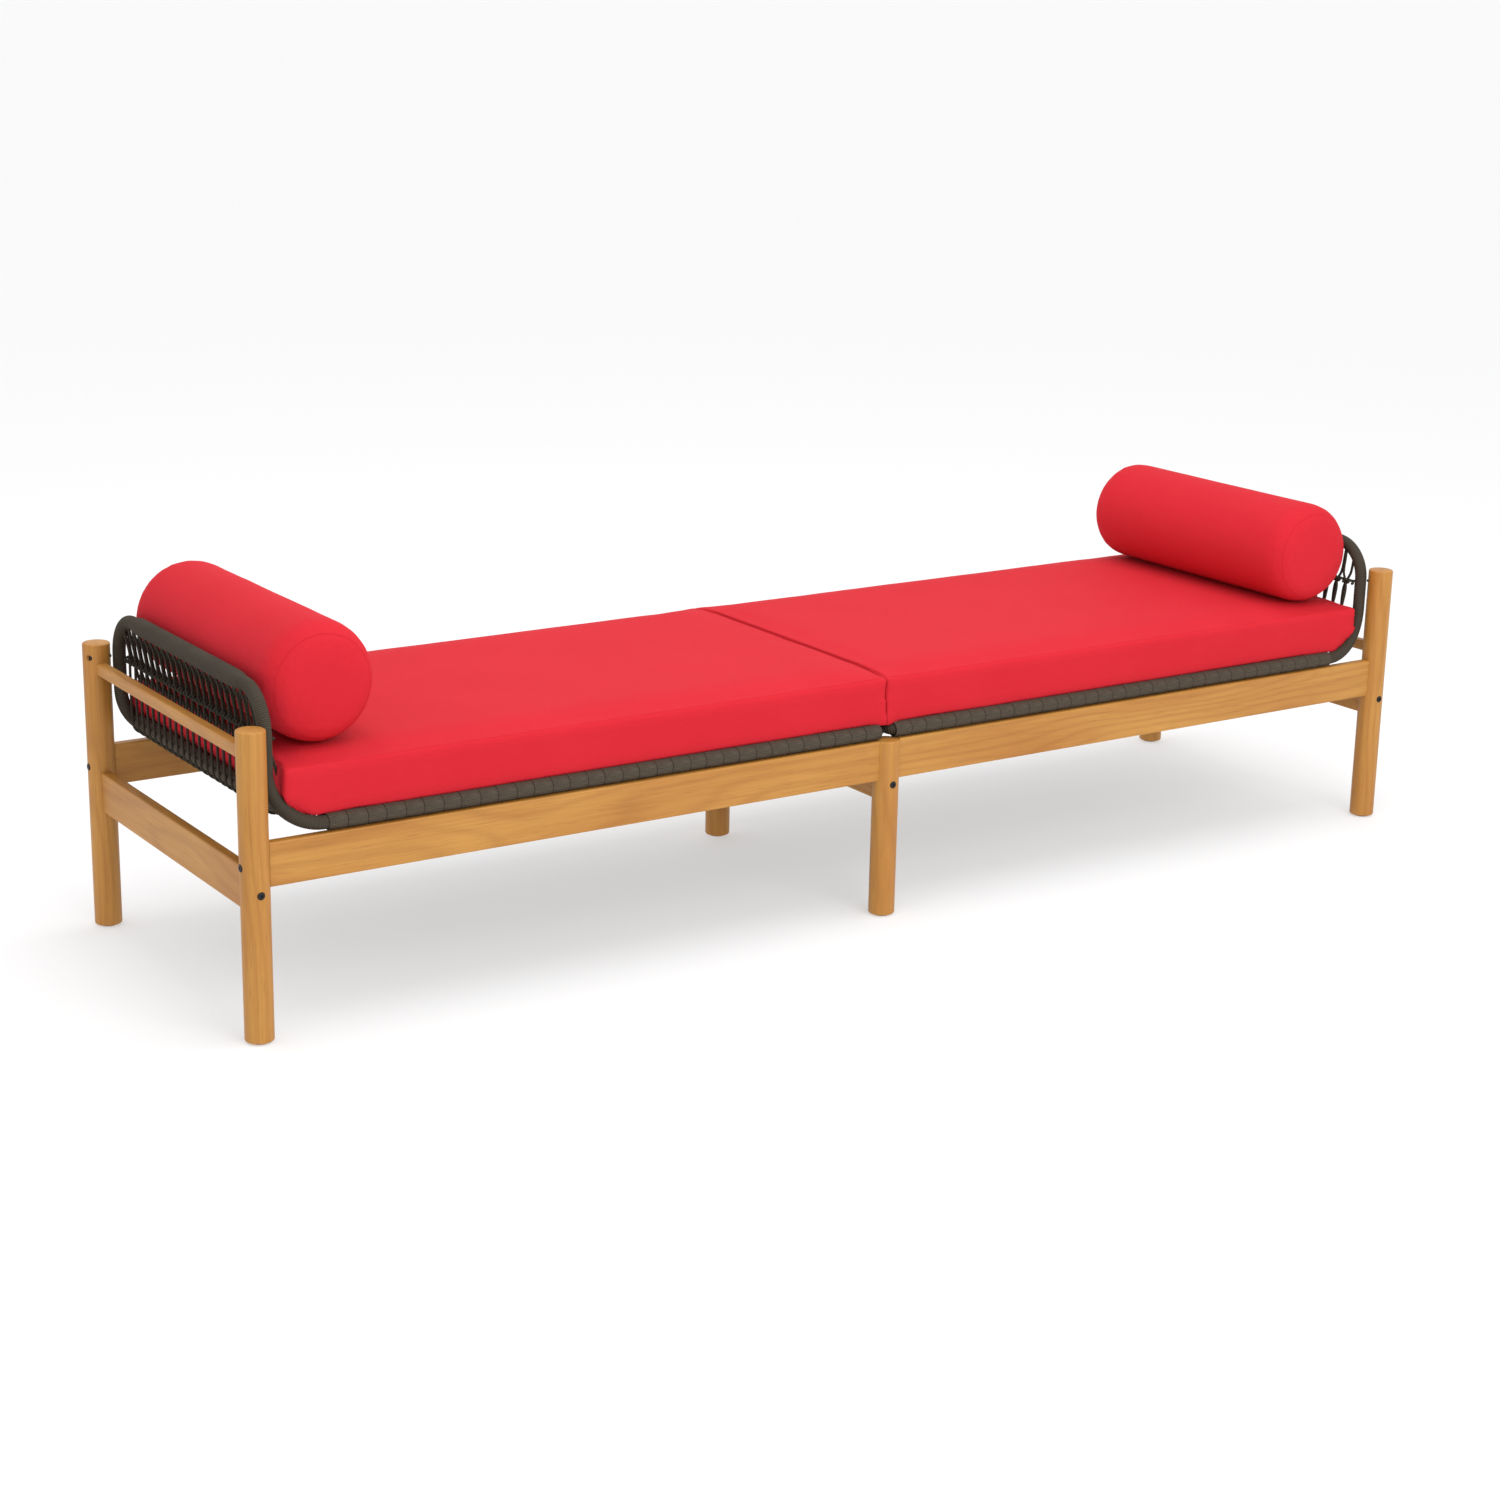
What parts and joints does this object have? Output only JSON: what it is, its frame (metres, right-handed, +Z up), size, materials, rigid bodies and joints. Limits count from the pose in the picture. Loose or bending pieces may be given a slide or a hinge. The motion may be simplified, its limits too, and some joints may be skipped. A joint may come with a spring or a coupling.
{
  "type": "daybed",
  "caption": "Long low garden daybed: round-leg wooden frame, corded tube seats with upturned looped ends, flat seat cushions and a cylindrical bolster at each end.",
  "frame": {"origin": "on the floor under the middle of the bed, half way between the corner posts", "axes": "+X along the bed, +Y from the front rail to the rear rail, +Z up"},
  "size_m": [2.347, 0.661, 0.6103],
  "materials": {
    "wood": "honey-stained oiled hardwood, satin",
    "cord_wrap": "fine dark grey-brown cord wound tightly round metal tube",
    "woven_cord": "dark grey-brown outdoor rope, braided, matt",
    "cushion_fabric": "plain red outdoor canvas, fine weave, matt",
    "bolt_black": "black",
    "zinc": "zinc plated",
    "glide_plastic": "black nylon"
  },
  "bodies": {
    "frame": {"front_left_rail": "wood", "front_right_rail": "wood", "left_bend_bar": "cord_wrap", "left_centre_bar": "cord_wrap", "left_end_bar": "wood", "left_end_rail": "wood", "left_front_end_barrel_nut": "zinc", "left_front_end_bolt": "bolt_black", "left_front_glide": "glide_plastic", "left_front_loop_bolt": "bolt_black", "left_front_post": "wood", "left_front_side_barrel_nut": "zinc", "left_front_side_bolt": "bolt_black", "left_front_side_tube": "cord_wrap", "left_rear_end_barrel_nut": "zinc", "left_rear_end_bolt": "bolt_black", "left_rear_glide": "glide_plastic", "left_rear_loop_bolt": "bolt_black", "left_rear_post": "wood", "left_rear_side_barrel_nut": "zinc", "left_rear_side_bolt": "bolt_black", "left_rear_side_tube": "cord_wrap", "left_top_bar": "cord_wrap", "left_woven_end": "woven_cord", "left_woven_seat": "woven_cord", "middle_cross_rail": "wood", "middle_front_barrel_nut": "zinc", "middle_front_bolt": "bolt_black", "middle_front_glide": "glide_plastic", "middle_front_leg": "wood", "middle_rear_glide": "glide_plastic", "middle_rear_leg": "wood", "rear_rail": "wood", "right_bend_bar": "cord_wrap", "right_centre_bar": "cord_wrap", "right_end_bar": "wood", "right_end_rail": "wood", "right_front_end_barrel_nut": "zinc", "right_front_end_bolt": "bolt_black", "right_front_glide": "glide_plastic", "right_front_loop_bolt": "bolt_black", "right_front_post": "wood", "right_front_side_barrel_nut": "zinc", "right_front_side_bolt": "bolt_black", "right_front_side_tube": "cord_wrap", "right_rear_end_barrel_nut": "zinc", "right_rear_end_bolt": "bolt_black", "right_rear_glide": "glide_plastic", "right_rear_loop_bolt": "bolt_black", "right_rear_post": "wood", "right_rear_side_barrel_nut": "zinc", "right_rear_side_bolt": "bolt_black", "right_rear_side_tube": "cord_wrap", "right_top_bar": "cord_wrap", "right_woven_end": "woven_cord", "right_woven_seat": "woven_cord"},
    "left_cushion": {"left_seat_cushion": "cushion_fabric"},
    "right_cushion": {"right_seat_cushion": "cushion_fabric"},
    "left_bolster": {"left_bolster": "cushion_fabric"},
    "right_bolster": {"right_bolster": "cushion_fabric"}
  },
  "joints": [
    {"name": "left_cushion_lift", "type": "slide", "parent": "frame", "child": "left_cushion", "axis": [0, 0, 1], "range_m": [0, 0.3]},
    {"name": "right_cushion_lift", "type": "slide", "parent": "frame", "child": "right_cushion", "axis": [0, 0, 1], "range_m": [0, 0.3]},
    {"name": "left_bolster_lift", "type": "slide", "parent": "left_cushion", "child": "left_bolster", "axis": [0, 0, 1], "range_m": [0, 0.25]},
    {"name": "right_bolster_lift", "type": "slide", "parent": "right_cushion", "child": "right_bolster", "axis": [0, 0, 1], "range_m": [0, 0.25]}
  ]
}
